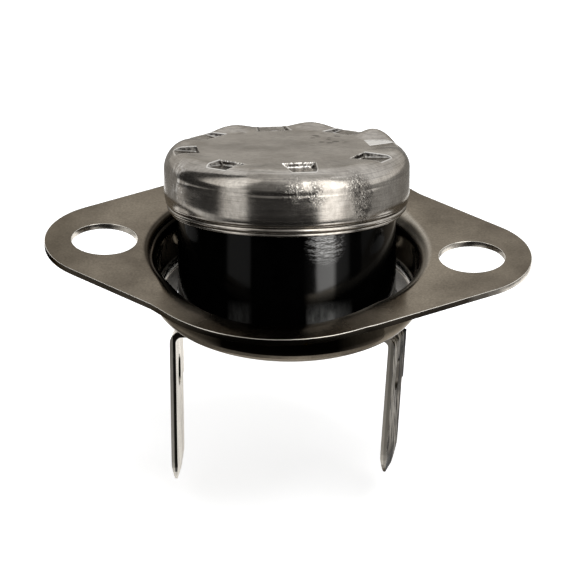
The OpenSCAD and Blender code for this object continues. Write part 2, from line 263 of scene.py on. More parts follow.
# tones of the dished sheet: masks from the depth under the brim, the radius and the side pick out the wall of
# the dish, darkened as painted shade, a ring on the left of its mouth darkened as painted shade, a ring on the right
# lightened as a painted highlight, a foot painted bright as a highlight and a ledge painted a lighter grey as lit; then
# the left tip is darkened, all is mottled and places on the front brim are made rougher
def dishTones(t, v, col, r, p):
    place = here(t)
    x, _, z = axes(t, place)
    down = within(t, z, 0.0, -p["depth"])
    # the dish's wall is darkened: painted shade
    col = mixColour(t, ramp(t, down, p["wall"]), col, p["wallShadeTone"], "MULTIPLY")
    r = maths(t, "SUBTRACT", r, maths(t, "MULTIPLY", down, p["polish"]))
    radius = vector(t, "LENGTH", vector(t, "MULTIPLY", place, (1, 1, 0)))
    inBowl = product(t, within(t, radius, *p["bowlR"]), within(t, z, *p["bowlZ"]))
    inMouth = within(t, radius, *p["mouthR"])
    side = within(t, x, *p["sideX"])
    # a ring on the left of the mouth is darkened: painted shade
    leftShadeRing = product(t, ramp(t, down, p["left"]), ramp(t, side, p["leftSide"]), inMouth)
    col = mixColour(t, leftShadeRing, col, p["leftShadeTone"], "MULTIPLY")
    # a ring on the right of the mouth is lightened: painted highlight
    rightHighlightRing = product(t, ramp(t, down, p["right"]), ramp(t, side, p["rightSide"]), inMouth)
    col = mixColour(t, rightHighlightRing, col, p["rightHighlightTone"])
    # the foot of the dish is painted bright: painted highlight
    foot = product(t, ramp(t, down, p["foot"]), inBowl)
    col = mixColour(t, foot, col, p["footHighlightTone"])
    # the floor's ledge is painted a lighter grey: painted light
    ledge = product(t, ramp(t, down, p["ledge"]), inBowl)
    col = mixColour(t, ledge, col, p["ledgeLightTone"])
    r = plus(t, r, maths(t, "MAXIMUM", rightHighlightRing, foot), p["ringRough"])
    r = plus(t, r, ledge, p["ledgeRough"])
    col = mixColour(t, within(t, x, *p["tipX"]), col, p["tipTone"], "MULTIPLY")
    mottle = ramp(t, noise(t, v, p["mottle"], 3.0, 0.7), p["mottleTones"])
    col = mixColour(t, p["mottleShare"], col, mottle, "MULTIPLY")
    for wornX, wornY in p["worn"]:
        r = plus(t, r, nearPoint(t, (wornX * mm, wornY * mm, 0), *p["wornReach"]), p["wornRough"])
    return col, r


shearPlain = dict(spots=(0.42, 0.55), spotShare=0.35, sheenShare=0.8, warm=(1, 0.965, 0.9),
                  narrow=((0.75, 0.0), (0.9, 1.0)), border=0.02, cutRough=0.55)


# tones of a sheared blade: spots of the grain dull it, the clouds set what is seen at a glancing angle, and on the
# narrow faces one half of the thickness is smooth from the cut and the other is torn and darkened, partly as torn metal
# and partly as painted shade
def shearedTones(t, cloud, grain, col, r, p):
    cut, glance = dict(shearPlain, **p["sheared"]), p["glance"]
    spots = ramp(t, grain, [(cut["spots"][0], cut["dull"]), (cut["spots"][1], 1.0)])
    col = mixColour(t, cut["spotShare"], col, spots, "MULTIPLY")
    warm = lambda g: tuple(g * k for k in cut["warm"])
    sheen = ramp(t, cloud, [(p["span"][0], warm(glance * cut["dull"])), (p["span"][1], warm(glance))])
    tint = mixColour(t, cut["sheenShare"], sheen, spots, "MULTIPLY")
    normal = add(t, "ShaderNodeTexCoord").outputs["Normal"]
    facing = vector(t, "DOT_PRODUCT", normal, leanMatrix(switchSet)[:, 1])
    narrow = ramp(t, maths(t, "ABSOLUTE", facing, 0.0), cut["narrow"])
    across, middle = vector(t, "DOT_PRODUCT", here(t), cut["side"]), cut["middle"] / mm
    # the torn half is darkened, partly as torn metal and partly as painted shade
    tornAndShaded = within(t, across, middle - cut["border"], middle + cut["border"])
    col = mixColour(t, narrow, col, mixColour(t, tornAndShaded, cut["smooth"], cut["tornAndShaded"]))
    return col, maths(t, "MAXIMUM", r, maths(t, "MULTIPLY", narrow, cut["cutRough"])), tint


metalPlain = dict(cloud=900.0, grain=8000.0, grainBump=0.25, grainDepth=0.01, grainShare=0.15,
                  grainTones=((0.35, 0.45), (0.65, 1.0)), stretch=(1, 1, 1), span=(0.3, 0.72), roughSpan=(0.3, 0.7),
                  glance=0.6, tint=(1, 0.97, 0.93))


# plated or rolled metal: clouds of noise blend two tones and two roughnesses, a fine grain darkens and bumps, and
# the tint holds down what is seen at a glancing angle
def metalFinish(name, **own):
    p = dict(metalPlain, **own)
    m, t, b = newMaterial(name)
    b.inputs["Metallic"].default_value = 1.0
    b.inputs["Specular Tint"].default_value = (*(p["glance"] * k for k in p["tint"]), 1)
    v = mapping(t, p["stretch"])
    cloud = noise(t, v, p["cloud"], 5.0, 0.6)
    grain = noise(t, v, p["grain"], 3.0, 0.6)
    col = ramp(t, cloud, list(zip(p["span"], (p["dark"], p["light"]))))
    col = mixColour(t, p["grainShare"], col, ramp(t, grain, p["grainTones"]), "MULTIPLY")
    r = ramp(t, noise(t, v, p["cloud"] * 3, 4.0, 0.65), list(zip(p["roughSpan"], p["rough"])))
    if "dish" in p:
        col, r = dishTones(t, v, col, r, p["dish"])
    if "sheared" in p:
        col, r, tint = shearedTones(t, cloud, grain, col, r, p)
        t.links.new(tint, b.inputs["Specular Tint"])
    t.links.new(col, b.inputs["Base Color"])
    t.links.new(r, b.inputs["Roughness"])
    t.links.new(bump(t, grain, p["grainBump"], p["grainDepth"]), b.inputs["Normal"])
    return m


# places are bearing, radius, height and reach; stops run over a noise; ways are stretches in the switch's directions
capFinish = dict(
    dark=(0.34, 0.312, 0.28), light=(0.58, 0.55, 0.507), glance=(0.62, 0.60, 0.57, 1), cloud=420.0,
    grain=2600.0, grainWay=(1.0, 2.6, 1.0), grainTones=((0.36, 0.45), (0.6, 1.0)), grainShare=0.35,
    lineWay=(330.0, 330.0, 14000.0), lineTones=((0.38, 0.3), (0.5, 1.0)), lineShare=0.28,
    gloss=0.15, glossMore=0.07, brushed=900.0, brushedWay=(1, 1, 6),
    speck=9500.0, broken=1500.0, brokenTones=((0.38, 0.0), (0.55, 1.0)), speckShare=0.8, speckRough=0.08,
    specks=((0.46, (0.02, 0.018, 0.016)), (0.55, (0.22, 0.21, 0.19)), (0.65, (0.85, 0.82, 0.77))),
    patches=((277, 8.0, 3.1, 1.3), (287, 8.0, 2.9, 1.1), (309, 8.0, 3.2, 1.2), (312, 8.0, 2.2, 1.1),
             (312, 8.0, 1.3, 0.9)),
    scuff=(212, 8.0, 2.6, 1.7), scuffTone=(0.9, 0.88, 0.85), rubbed=2600.0, rubbedWay=(1, 1, 0.5),
    rubbedTones=((0.5, 0.0), (0.6, 0.8)),
    pitted=(52, 3.4, 4.25, 2.2), pitTone=(0.06, 0.052, 0.045), pits=1500.0, pitWay=(0.9, 1.2, 1.0),
    pitTones=((0.24, 1.0), (0.36, 0.0)),
    # the tone laid in the stakes' pockets is painted shade
    pocketShadeTone=(0.03, 0.027, 0.024), streaks=1800.0, streakWay=(2.5, 2.5, 0.6), streakTones=((0.36, 0.35), (0.56, 1.0)),
    # the bright tone on the stakes' edges is partly wear and partly painted highlight
    burnishHighlightTone=(0.95, 0.93, 0.90), burnishHighlightShare=0.9)


# drawn cap: clouds blend two tones, then a grain, scratches round the wall, a bright scuff, rough speckled patches,
# pits on the top, painted shade in the stakes and bright edges, partly worn and partly painted highlight, are laid over
# each other by their masks
def drawnCap(p):
    m, t, b = newMaterial("capMetal")
    b.inputs["Metallic"].default_value = 1.0
    b.inputs["Specular Tint"].default_value = p["glance"]
    v = switchCoords(t)
    stored = lambda name: add(t, "ShaderNodeAttribute", attribute_name=name).outputs["Fac"]
    near = lambda place, full: nearPoint(t, switchPoint(*place[:3]), full, place[3])
    grain = noise(t, switchCoords(t, p["grainWay"]), p["grain"], 4.0, 0.65)
    lines = noise(t, switchCoords(t, p["lineWay"]), 1.0, 3.0, 0.6)
    speck = noise(t, v, p["speck"], 3.0, 0.65)
    rough = 0.0
    for patch in p["patches"]:
        rough = maths(t, "MAXIMUM", near(patch, 0.2), rough)
    rough = product(t, rough, ramp(t, noise(t, v, p["broken"], 3.0), p["brokenTones"]))
    col = ramp(t, noise(t, v, p["cloud"], 5.0, 0.6), [(0.3, p["dark"]), (0.7, p["light"])])
    col = mixColour(t, p["grainShare"], col, ramp(t, grain, p["grainTones"]), "MULTIPLY")
    col = mixColour(t, p["lineShare"], col, ramp(t, lines, p["lineTones"]), "MULTIPLY")
    rubbed = noise(t, switchCoords(t, p["rubbedWay"]), p["rubbed"], 4.0, 0.7)
    scuff = product(t, near(p["scuff"], 0.5), ramp(t, rubbed, p["rubbedTones"]))
    col = mixColour(t, scuff, col, p["scuffTone"])
    col = mixColour(t, product(t, rough, p["speckShare"]), col, ramp(t, speck, p["specks"]))
    pit = add(t, "ShaderNodeTexVoronoi", Scale=p["pits"])
    t.links.new(switchCoords(t, p["pitWay"]), pit.inputs["Vector"])
    pits = ramp(t, pit.outputs["Distance"], p["pitTones"])
    pits = product(t, pits, near(p["pitted"], p["pitted"][3] * 0.5))
    col = mixColour(t, pits, col, p["pitTone"])
    streaks = noise(t, switchCoords(t, p["streakWay"]), p["streaks"], 3.0)
    # the stakes' pockets are darkened: painted shade, broken by streaks
    pocketShade = product(t, stored("pocketShade"), ramp(t, streaks, p["streakTones"]))
    col = mixColour(t, pocketShade, col, p["pocketShadeTone"])
    # the stakes' edges are painted bright, partly as worn metal and partly as painted highlight
    col = mixColour(t, product(t, stored("burnishAndHighlight"), p["burnishHighlightShare"]), col, p["burnishHighlightTone"])
    t.links.new(col, b.inputs["Base Color"])
    brushed = noise(t, switchCoords(t, p["brushedWay"]), p["brushed"], 4.0, 0.65)
    r = ramp(t, brushed, [(0.3, p["gloss"]), (0.7, p["gloss"] + p["glossMore"])])
    t.links.new(plus(t, r, rough, p["speckRough"]), b.inputs["Roughness"])
    n = bump(t, lines, 0.10, 0.004)
    n = bump(t, grain, 0.10, 0.006, n)
    n = bump(t, product(t, speck, rough), 0.8, 0.05, n)
    t.links.new(bump(t, pits, 0.5, -0.03, n), b.inputs["Normal"])
    return m


capMetal = drawnCap(capFinish)

# sizes of the flange, for its finishes here and its sheet below
flangeSet = dict(holeR=2.15, holeX=12.0, sheet=0.4, earR=5.4, earX=10.5, middleR=11.6948, mouth=1.1,
                 wallR=8.4948, floorBend=0.6, floorHole=7.5448, floorNear=7.22, depth=3.55, earAngle=36.0, edge=0.06,
                 noseAt=83.0, nose=0.78, noseSpan=37.0, roll=1.75, rollSpan=52.0)
# stops run over the depth of the dish, 0 at the brim and 1 at its floor, or from left to right
# the tones of the dish's wall and of the ring left of its mouth are painted shade, those of the right ring and the foot
# are painted highlights, and the ledge's grey is painted light
dishFinish = dict(
    depth=flangeSet["depth"], wall=((0.03, 0.0), (0.25, 1.0), (0.8, 1.0), (0.93, 0.0)), wallShadeTone=(0.24, 0.233, 0.22),
    polish=0.08, bowlR=(8.65, 8.55), bowlZ=(-3.75, -3.65), mouthR=(9.9, 9.7), sideX=(-7.0, 7.0),
    left=((0.002, 0.0), (0.012, 0.9), (0.06, 0.9), (0.1, 0.0)), leftSide=((0.1, 1.0), (0.4, 0.0)),
    leftShadeTone=(0.12, 0.116, 0.11),
    right=((0.004, 0.0), (0.02, 1.0), (0.16, 1.0), (0.24, 0.0)), rightSide=((0.7, 0.0), (0.95, 1.0)),
    rightHighlightTone=(0.4, 0.365, 0.31), ringRough=0.18,
    foot=((0.84, 0.0), (0.88, 1.0), (0.96, 1.0), (0.985, 0.0)), footHighlightTone=(0.95, 0.92, 0.86),
    ledge=((0.98, 0.0), (0.995, 1.0)), ledgeLightTone=(0.5, 0.48, 0.45), ledgeRough=0.5,
    tipX=(-12.0, -15.0), tipTone=(0.58, 0.57, 0.55),
    mottle=6500.0, mottleTones=((0.36, 0.5), (0.62, 1.25)), mottleShare=0.35,
    worn=((-6.0, -9.2), (6.0, -9.2)), wornReach=(1.2, 3.2), wornRough=0.22)
flangeMetal = metalFinish("flangeMetal", dark=(0.13, 0.11, 0.086), light=(0.275, 0.237, 0.187), rough=(0.09, 0.15),
                          cloud=150.0, grain=4200.0, grainBump=0.06, span=(0.33, 0.66), dish=dishFinish)
# the dark and worn tones of the cut face are painted shade, its light tone and light glance a painted highlight
cutFinish = dict(dark=(0.03, 0.026, 0.021), worn=(0.07, 0.06, 0.048), light=(0.62, 0.58, 0.52), gloss=0.24,
                 right=(12.0, 14.0), highlightFrom=0.3, highlightTo=0.7, shadeGlance=(0.2, 0.195, 0.186),
                 highlightGlance=(0.9, 0.88, 0.85), cloud=300.0, patchy=650.0, patchTones=((0.35, 0.35), (0.6, 1.0)))
# the edge's dark tone is painted shade on its lower side, its light and worn tones a painted highlight on its upper
# side
edgeFinish = dict(dark=(0.03, 0.026, 0.021), light=(0.78, 0.74, 0.68), worn=(0.9, 0.87, 0.81), gloss=0.19,
                  cloud=300.0, rise=((0.3, 0.0), (0.7, 1.0)))


# cut face of the sheet: a dark tone, painted shade, blended with a light one, a painted highlight, by a patchy mask,
# 1 on the far right and round the screw holes
def cutFace(p, size):
    m, t, b = newMaterial("flangeRim")
    b.inputs["Metallic"].default_value = 1.0
    b.inputs["Roughness"].default_value = p["gloss"]
    v = mapping(t)
    # the far right and the rims of the screw holes are painted light: painted highlight
    highlightShare = within(t, axes(t, v)[0], *p["right"])
    reach = (size["holeR"] + p["highlightFrom"], size["holeR"] + p["highlightTo"])
    for x in (-size["holeX"], size["holeX"]):
        highlightShare = maths(t, "MAXIMUM", highlightShare, nearPoint(t, (x * mm, 0, 0), *reach))
    highlightShare = product(t, highlightShare, ramp(t, noise(t, v, p["patchy"], 3.0), p["patchTones"]))
    dark = ramp(t, noise(t, v, p["cloud"]), [(0.3, p["dark"]), (0.7, p["worn"])])
    t.links.new(mixColour(t, highlightShare, dark, p["light"]), b.inputs["Base Color"])
    t.links.new(mixColour(t, highlightShare, p["shadeGlance"], p["highlightGlance"]), b.inputs["Specular Tint"])
    return m


# rounded edge of the sheet: a dark tone, painted shade underneath, blended with a bright one, a painted highlight on
# top, by the height in the sheet
def sheetEdge(p, size):
    m, t, b = newMaterial("flangeEdge")
    b.inputs["Metallic"].default_value = 1.0
    b.inputs["Roughness"].default_value = p["gloss"]
    v = mapping(t)
    up = within(t, axes(t, v)[2], -size["sheet"], 0.0)
    edgeHighlight = ramp(t, noise(t, v, p["cloud"]), [(0.3, p["light"]), (0.7, p["worn"])])
    # lower side painted dark as shade, upper side painted bright as a highlight
    col = mixColour(t, ramp(t, up, p["rise"]), p["dark"], edgeHighlight)
    t.links.new(col, b.inputs["Base Color"])
    t.links.new(col, b.inputs["Specular Tint"])
    return m


flangeRim = cutFace(cutFinish, flangeSet)
flangeEdge = sheetEdge(edgeFinish, flangeSet)


# broad side of a blade: the direction of its largest face, and the plane midway to the largest opposite face
def bladeSide(piece):
    faces = piece.data.polygons
    n, at, area = np.empty(len(faces) * 3), np.empty(len(faces) * 3), np.empty(len(faces))
    faces.foreach_get("normal", n)
    faces.foreach_get("center", at)
    faces.foreach_get("area", area)
    n, at = n.reshape(-1, 3), at.reshape(-1, 3)
    side = n[np.argmax(area)] * np.sign(n[np.argmax(area), 0])
    d = [at[np.argmax(area * (n @ side * way > 0.999))] @ side for way in (1, -1)]
    return dict(side=side.tolist(), middle=float(sum(d) / 2))


# each blade's torn tone is partly the torn metal's own and partly painted shade along its edge
tabMetal = metalFinish(
    "tabMetal", dark=(0.50, 0.47, 0.42), light=(0.78, 0.75, 0.70), rough=(0.2, 0.32), cloud=700.0, grain=5000.0,
    grainBump=0.15, stretch=(1, 1, 0.15), glance=1.0,
    sheared=dict(bladeSide(nodes["terminal_fixed"]), smooth=(0.62, 0.59, 0.54), tornAndShaded=(0.02, 0.018, 0.015), dull=0.8))
tabTarnished = metalFinish(
    "tabTarnished", dark=(0.09, 0.08, 0.066), light=(0.28, 0.259, 0.229), rough=(0.2, 0.35), cloud=600.0, grain=2600.0,
    grainBump=0.3, stretch=(1, 1, 0.25), glance=0.44, span=(0.43, 0.55),
    sheared=dict(bladeSide(nodes["terminal_moving"]), smooth=(0.5, 0.47, 0.42), tornAndShaded=(0.3, 0.28, 0.25), dull=0.06))
springBrass = metalFinish("springBrass", dark=(0.48, 0.30, 0.10), light=(0.56, 0.37, 0.14), rough=(0.25, 0.36))
contactSilver = metalFinish("contactSilver", dark=(0.72, 0.71, 0.68), light=(0.82, 0.81, 0.79), rough=(0.2, 0.3),
                            cloud=1500.0)
rivetMetal = metalFinish("rivetMetal", dark=(0.42, 0.39, 0.33), light=(0.52, 0.49, 0.42), rough=(0.25, 0.38),
                         cloud=1500.0)
bimetalStrip = metalFinish("bimetalStrip", dark=(0.34, 0.26, 0.15), light=(0.42, 0.34, 0.22), rough=(0.28, 0.4),
                           cloud=700.0, grain=7000.0)

# stops of film and of the strips of painted reflection run from the left to the right of the base's front
baseFinish = dict(
    r=7.12, black=(0.0003, 0.0003, 0.0003), grey=(0.0009, 0.0009, 0.0009), cloud=900.0, gloss=(0.08, 0.14),
    smear=1400.0, wave=350.0, grain=9000.0,
    ripple=(295, 7.12, -0.7, 1.5), ripples=1700.0, rippleWay=(0.75, 0.75, 2.6), coat=0.9, coatGloss=0.05, coatIor=2.0,
    film=((0.0, 0.03), (0.235, 0.01), (0.255, 0.11), (0.36, 0.1), (0.37, 0.02), (0.6, 0.03), (0.63, 0.6),
          (0.73, 0.75), (0.75, 0.12), (0.84, 0.1), (1.0, 0.03)), plainFilm=(0.2, 0.2, 0.2),
    # the lighter strips low on the front wall are a painted reflection, broken up by noise
    reflectionStrips=((0.25, 0.0), (0.27, 0.15), (0.35, 0.15), (0.37, 0.0), (0.61, 0.0), (0.63, 0.4), (0.7, 0.8), (0.73, 0.85),
          (0.745, 0.4), (0.8, 0.2), (0.82, 0.0)), reflectionStripTone=(0.2, 0.2, 0.192),
    stripNoise=2600.0, stripNoiseWay=(1, 1, 0.4), stripNoiseTones=((0.35, 0.4), (0.6, 1.0)),
    reflectionStripZ=(-2.2, -3.4), wallZ=(-7.0, -6.0), front=(-0.2, -0.4))


# glossy moulding: near black with a faint waviness; on the front wall the mirror's strength runs in upright strips and
# a lighter colour low in strips is a painted reflection, and a rippled coat lies on one patch under the cap
def mouldedBlack(p):
    m, t, b = newMaterial("mouldedBlack")
    v = mapping(t)
    black = ramp(t, noise(t, v, p["cloud"]), [(0.3, p["black"]), (0.75, p["grey"])])
    x, y, z = axes(t, switchCoords(t))
    side = within(t, x, -p["r"], p["r"])
    facing = product(t, within(t, y, *(share * p["r"] for share in p["front"])), within(t, z, *p["wallZ"]))
    film = mixColour(t, facing, p["plainFilm"], ramp(t, side, p["film"]))
    stripNoise = noise(t, switchCoords(t, p["stripNoiseWay"]), p["stripNoise"], 3.0, 0.6)
    # upright strips low on the front wall are painted lighter: painted reflection
    reflectionStrips = product(t, ramp(t, side, p["reflectionStrips"]), within(t, z, *p["reflectionStripZ"]), facing, ramp(t, stripNoise, p["stripNoiseTones"]))
    r = ramp(t, noise(t, v, p["smear"]), [(0.3, p["gloss"][0]), (0.7, p["gloss"][1])])
    t.links.new(r, b.inputs["Roughness"])
    wave = bump(t, noise(t, v, p["wave"], 1.0), 0.08, 0.2)
    ripple = noise(t, switchCoords(t, p["rippleWay"]), p["ripples"], 2.0, 0.5)
    spot = nearPoint(t, switchPoint(*p["ripple"][:3]), 0.5, p["ripple"][3])
    t.links.new(mixColour(t, reflectionStrips, black, p["reflectionStripTone"]), b.inputs["Base Color"])
    t.links.new(film, b.inputs["Specular IOR Level"])
    t.links.new(product(t, spot, p["coat"]), b.inputs["Coat Weight"])
    t.links.new(bump(t, ripple, 0.9, 0.3, wave), b.inputs["Coat Normal"])
    b.inputs["Coat Roughness"].default_value = p["coatGloss"]
    b.inputs["Coat IOR"].default_value = p["coatIor"]
    t.links.new(bump(t, noise(t, v, p["grain"]), 0.04, 0.01, wave), b.inputs["Normal"])
    return m


mattPlain = dict(cloud=1200.0, grain=12000.0, grainBump=0.2, grainDepth=0.01)


# matt moulding or fired clay: noise blends two close tones, and a fine grain bumps
def mattSolid(name, dark, light, rough, p=mattPlain):
    m, t, b = newMaterial(name)
    v = mapping(t)
    t.links.new(ramp(t, noise(t, v, p["cloud"]), [(0.3, dark), (0.7, light)]), b.inputs["Base Color"])
    b.inputs["Roughness"].default_value = rough
    t.links.new(bump(t, noise(t, v, p["grain"]), p["grainBump"], p["grainDepth"]), b.inputs["Normal"])
    return m


mouldedBase = mouldedBlack(baseFinish)
guideBrown = mattSolid("guideBrown", (0.09, 0.035, 0.015), (0.13, 0.055, 0.025), 0.5)
firedPin = mattSolid("firedPin", (0.78, 0.76, 0.70), (0.86, 0.84, 0.79), 0.55)
finishes = dict(mounting_flange=flangeMetal, sensor_cap=capMetal, bimetal_disc=bimetalStrip,
                guide_plate=guideBrown, transfer_pin=firedPin, switch_base=mouldedBase,
                contact_arm=springBrass, moving_contact=contactSilver, fixed_plate=springBrass,
                fixed_contact=contactSilver, rivet_moving=rivetMetal, rivet_fixed=rivetMetal,
                terminal_moving=tabTarnished, terminal_fixed=tabMetal)
for nodeName, finish in finishes.items():
    nodes[nodeName].data.materials.clear()
    nodes[nodeName].data.materials.append(finish)
print("materials done:", len(finishes))

# sizes of the cap in millimetres; one number per stake for its bearing, its inner end, its side wall painted bright as
# a highlight and the crest that follows it
capSet = dict(r=8.0, h=4.25, rim=1.27, drawZ=2.8, drawIn=0.03, drawH=0.09, drawAt=275.0, drawSpan=48.0,
              curlZ=1.55, curlIn=0.09, curlH=0.7, lipW=0.35, lipT=0.16, lipRound=0.05, groove=0.05, bead=0.2, neck=0.12,
              neckRound=0.2, baseR=7.12, lipGap=0.08, crimp=0.5, wall=0.4, topT=0.45, poleR=0.6, hollowR=3.0,
              stakeW=2.25, side=0.36, steep=0.06, floorRise=0.09, soft=0.03, burr=0.02, burrW=0.04, depth=0.32,
              fineIn=0.2, fineOut=0.3, lineR=4.6, stakeR=4.0, liftZ=0.3, swell=1.25, swellFrom=0.85,
              bearings=(16.0, 58.0, 103.0, 148.0, 190.5, 236.0, 283.5, 337.0),
              stakesIn=(5.4, 5.5, 5.3, 5.7, 5.8, 5.55, 4.75, 5.1), lit=(-1, 0, 0, 0, 0, 0, 1, 1),
              rises=(0.46, 0.3, 0.26, 0.12, 0.04, 0.04, 0.04, 0.1),
              edgeW=0.03, foldW=0.04, footW=0.08, sunk=0.06)


# the lower of two heights with the corner rounded off over a small difference
def softLow(a, b, k):
    h = np.clip(0.5 + 0.5 * (b - a) / k, 0, 1)
    return b * (1 - h) + a * h - k * h * (1 - h)


# hump of height 1 at zero: e to the minus square of the distance over a width
def hump(d, width):
    return np.exp(-(d / width) ** 2)


# cap skin: a closed profile over the top, the rim and the wall to the lip and back up inside, carried round the
# axis stake by stake; the rim's crest swells between two stakes as a power of a sine, and the lines run parallel
# through each stake, where the height is the lower of the profile and a pocket with a steep inner wall, two
# sloped sides and a floor that rises outwards; the first mark is 1 on the stakes' edges, partly wear and partly
# painted highlight, and on the lit side wall, a painted highlight; the second is 1 in the hollows, painted shade
def capSkin(p):
    lipIn = p["baseR"] + p["lipGap"]
    lipR = lipIn + p["lipW"]
    beadZ = p["lipT"] + p["groove"] + p["bead"]
    beadTop = beadZ + p["bead"]
    c, low, inTop = p["r"] - p["rim"], p["h"] - p["rim"], p["h"] - p["topT"]
    zWall = np.linspace(low, beadTop + 2 * p["neck"], 36)[1:]
    rWall = p["r"] - p["curlIn"] * np.clip((p["curlZ"] - zWall) / p["curlH"], 0, 1) ** 2
    wall = np.concatenate([
        arc(c, low, p["rim"], 90, 0, 44), np.stack([rWall, zWall], -1),
        arc(rWall[-1] - p["neckRound"], zWall[-1] - 0.02, p["neckRound"], 0, -70, 8),
        [(lipR + p["neck"], beadTop + p["groove"])], arc(lipR + p["groove"], beadZ, p["bead"], 70, -70, 14),
        [(lipR - p["groove"], p["lipT"] + p["groove"]), (lipR - 0.01, p["lipT"] + 0.01)],
        arc(lipR - p["lipRound"], p["lipRound"], p["lipRound"], 0, -90, 5)])
    hollow = np.concatenate([
        [(lipIn + 0.02, 0.0), (lipIn, 0.03), (lipIn, p["crimp"]), (p["r"] - p["wall"], p["crimp"])],
        arc(c, inTop - p["rim"] + p["wall"], p["rim"] - p["wall"], 0, 90, 9), [(p["hollowR"], inTop)]])
    half = p["stakeW"] / 2
    flank = np.array([0.0, 0.2, 0.4, 0.6, 0.75, 0.86]) * (half - p["side"])
    offs = np.concatenate([flank, np.linspace(half - p["side"] - 0.08, half + 0.14, 15)])
    free = np.linspace(0, 1, 12)[1:, None]
    turns = np.radians(p["bearings"])
    gaps = np.mod(np.roll(turns, -1) - turns, 2 * math.pi) / 2
    sectors, marks = [], []
    for k, inner in enumerate(p["stakesIn"]):
        fineStart, fineEnd = inner - p["fineIn"], inner + p["fineOut"]
        flat = np.concatenate([np.linspace(p["poleR"], fineStart, 10), np.linspace(fineStart, fineEnd, 26)[1:],
                               np.linspace(fineEnd, c, 14)[1:-1]])
        path = np.concatenate([np.stack([flat, 0 * flat + p["h"]], -1), wall, hollow])
        r, z0 = path[None, :, 0], path[None, :, 1]
        outer = np.arange(len(path))[None] < len(flat) + len(wall)
        atLine = np.arcsin(offs[:, None] / np.maximum(r, p["lineR"]))
        spread = [np.concatenate([atLine, atLine[-1:] + free * (g - atLine[-1:])]) for g in (gaps[k - 1], gaps[k])]
        b = np.concatenate([-spread[0][:0:-1], spread[1][:-1]])
        a = b + turns[k]
        clear = atLine[-1:] * p["swellFrom"]
        along = np.clip((np.abs(b) - clear) / (np.where(b < 0, gaps[k - 1], gaps[k]) - clear), 0, 1)
        swell = np.sin(along * math.pi / 2) ** p["swell"]
        q = np.clip((r - inner + p["fineIn"]) / (c - inner + p["fineIn"]), 0, 1)
        high = np.clip((z0 - beadTop - p["liftZ"]) / (p["h"] - beadTop - p["liftZ"]), 0, 1)
        lift = outer * q * q * (3 - 2 * q) * high
        z = z0 + lift * swell * np.where(b < 0, p["rises"][k - 1], p["rises"][k])
        x, y = r * np.cos(b), r * np.sin(b)
        wallIn = np.maximum(0, inner + p["steep"] - x) * p["depth"] / p["steep"]
        wallSide = np.maximum(0, np.abs(y) - half + p["side"]) * p["depth"] / p["side"]
        pocket = p["h"] - p["depth"] + p["floorRise"] * (x - inner) - softLow(-wallIn, -wallSide, p["soft"] / 2)
        staked = outer & (z0 > beadTop + 1) & (r > p["stakeR"])
        rolled = p["burr"] * hump(pocket - z, p["burrW"])
        top = np.where(staked, softLow(z, pocket, p["soft"]) + rolled, z)
        off = (np.degrees(a) - p["drawAt"] + 180) % 360 - 180
        dent = p["drawIn"] * hump(z - p["drawZ"], p["drawH"]) * hump(off, p["drawSpan"])
        d = r - np.where(outer & (r > c), dent, 0)
        sectors.append(np.stack([d * np.cos(a), d * np.sin(a), top], -1))
        sunk = np.clip((z - pocket) / p["sunk"], 0, 1)
        steepest = np.maximum(wallIn, wallSide)
        fold = hump(wallIn - wallSide, p["foldW"]) * (steepest > 0.01) * sunk
        foot = hump(x - inner - p["steep"], p["footW"]) * (steepest < p["edgeW"]) * sunk
        # the side wall towards the lit side is painted bright: painted highlight
        shine = (wallSide > wallIn) * (y * p["lit"][k] < 0) * sunk
        worn = np.maximum.reduce([hump(pocket - z, p["edgeW"]), fold, foot, shine])
        # painted shade in the pockets, full on the steep walls and half on the floors
        pocketShadeShare = sunk * np.where(steepest > p["edgeW"], 1.0, 0.5)
        marks.append(np.stack([staked * worn, staked * pocketShadeShare], -1))
    return np.concatenate(sectors), np.concatenate(marks)


capPoints, capMarks = capSkin(capSet)
cap = gridMesh("capSkin", toFrame(capPoints), wrap=True, flip=True, sharp=60, poles=True)
for k, mark in enumerate(("burnishAndHighlight", "pocketShade")):
    cap.data.attributes.new(mark, "FLOAT", "POINT").data.foreach_set(
        "value", np.append(capMarks[..., k].ravel(), [0.0, 0.0]))
cap.data.materials.append(capMetal)
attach(cap, "switch")
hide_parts("sensor_cap")
print("cap done")


# edges of a piece rounded off where they bend by more than an angle in degrees; the width is in millimetres
def softEdges(piece, width, angle):
    soft = piece.modifiers.new("soft", "BEVEL")
    soft.width, soft.segments = width * mm, 3
    soft.limit_method, soft.angle_limit = "ANGLE", math.radians(angle)
    return soft


bladeSet = dict(weld=1e-6, edge=0.07, bend=40)
for nodeName in ("terminal_moving", "terminal_fixed"):
    weld = nodes[nodeName].modifiers.new("weld", "WELD")
    weld.merge_threshold = bladeSet["weld"]
    softEdges(nodes[nodeName], bladeSet["edge"], bladeSet["bend"])
print("blades done")


# 1 at the flange's two noses, front and back, falling to 0 at a span of degrees as a power of one minus the square
def noseShare(p, a, span, power):
    off = np.mod(np.degrees(a) - p["noseAt"] + 90, 180) - 90
    return np.maximum(1 - (off / span) ** 2, 0) ** power


# bend of the dish's mouth at a polar angle: the plain bend, rolled wider at the noses
def mouthBend(p, a):
    return p["mouth"] + p["roll"] * noseShare(p, a, p["rollSpan"], 1.5)


# hole in the dish's floor at a polar angle: an ellipse, narrow along the axis that the switch leans about
def floorHole(p, a):
    b = np.asarray(a) - math.radians(switchSet["turn"])
    return 1 / np.sqrt((np.cos(b) / p["floorNear"]) ** 2 + (np.sin(b) / p["floorHole"]) ** 2)


